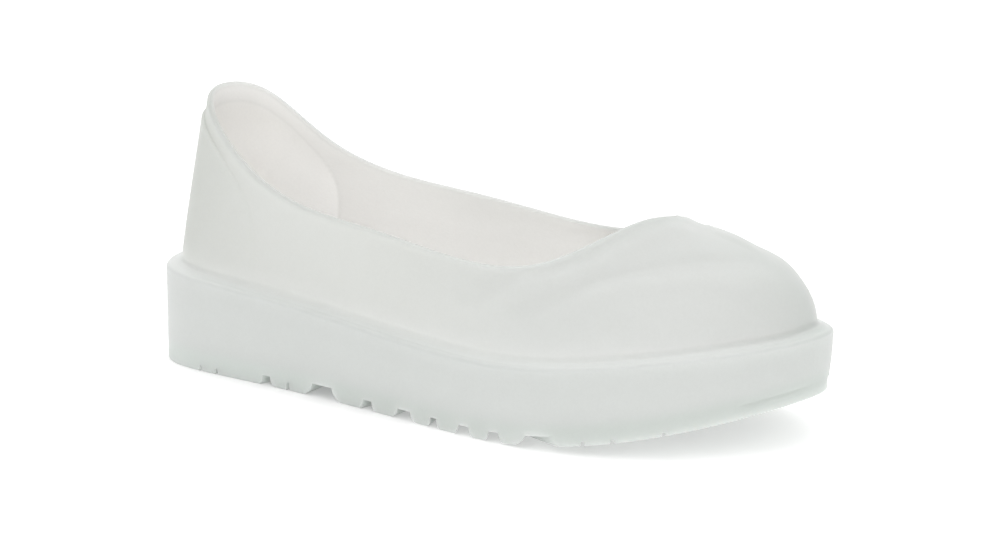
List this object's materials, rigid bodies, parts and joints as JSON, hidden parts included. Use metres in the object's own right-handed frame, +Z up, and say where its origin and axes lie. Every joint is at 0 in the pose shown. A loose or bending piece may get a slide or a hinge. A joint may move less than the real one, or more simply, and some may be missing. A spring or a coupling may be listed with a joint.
{
  "type": "overshoe",
  "caption": "Slip-over rubber overshoe for a right foot, low cut and open at the top, with a thick ledged sole and a lugged tread.",
  "frame": {"origin": "on the ground, below the middle of the shoe's bounding box", "axes": "+X from heel to toe, +Y towards the inner side of the foot, +Z up"},
  "size_m": [0.288, 0.1082, 0.1097],
  "materials": {
    "upper": "milky translucent, satin",
    "heel_counter": "milky translucent, satin",
    "sole_cup": "milky translucent, satin",
    "heel_tread": "milky translucent, matt",
    "forefoot_tread": "milky translucent, matt"
  },
  "bodies": {
    "root": {"upper": "upper", "heel_counter": "heel_counter", "sole_cup": "sole_cup", "heel_tread": "heel_tread", "forefoot_tread": "forefoot_tread"}
  },
  "joints": []
}
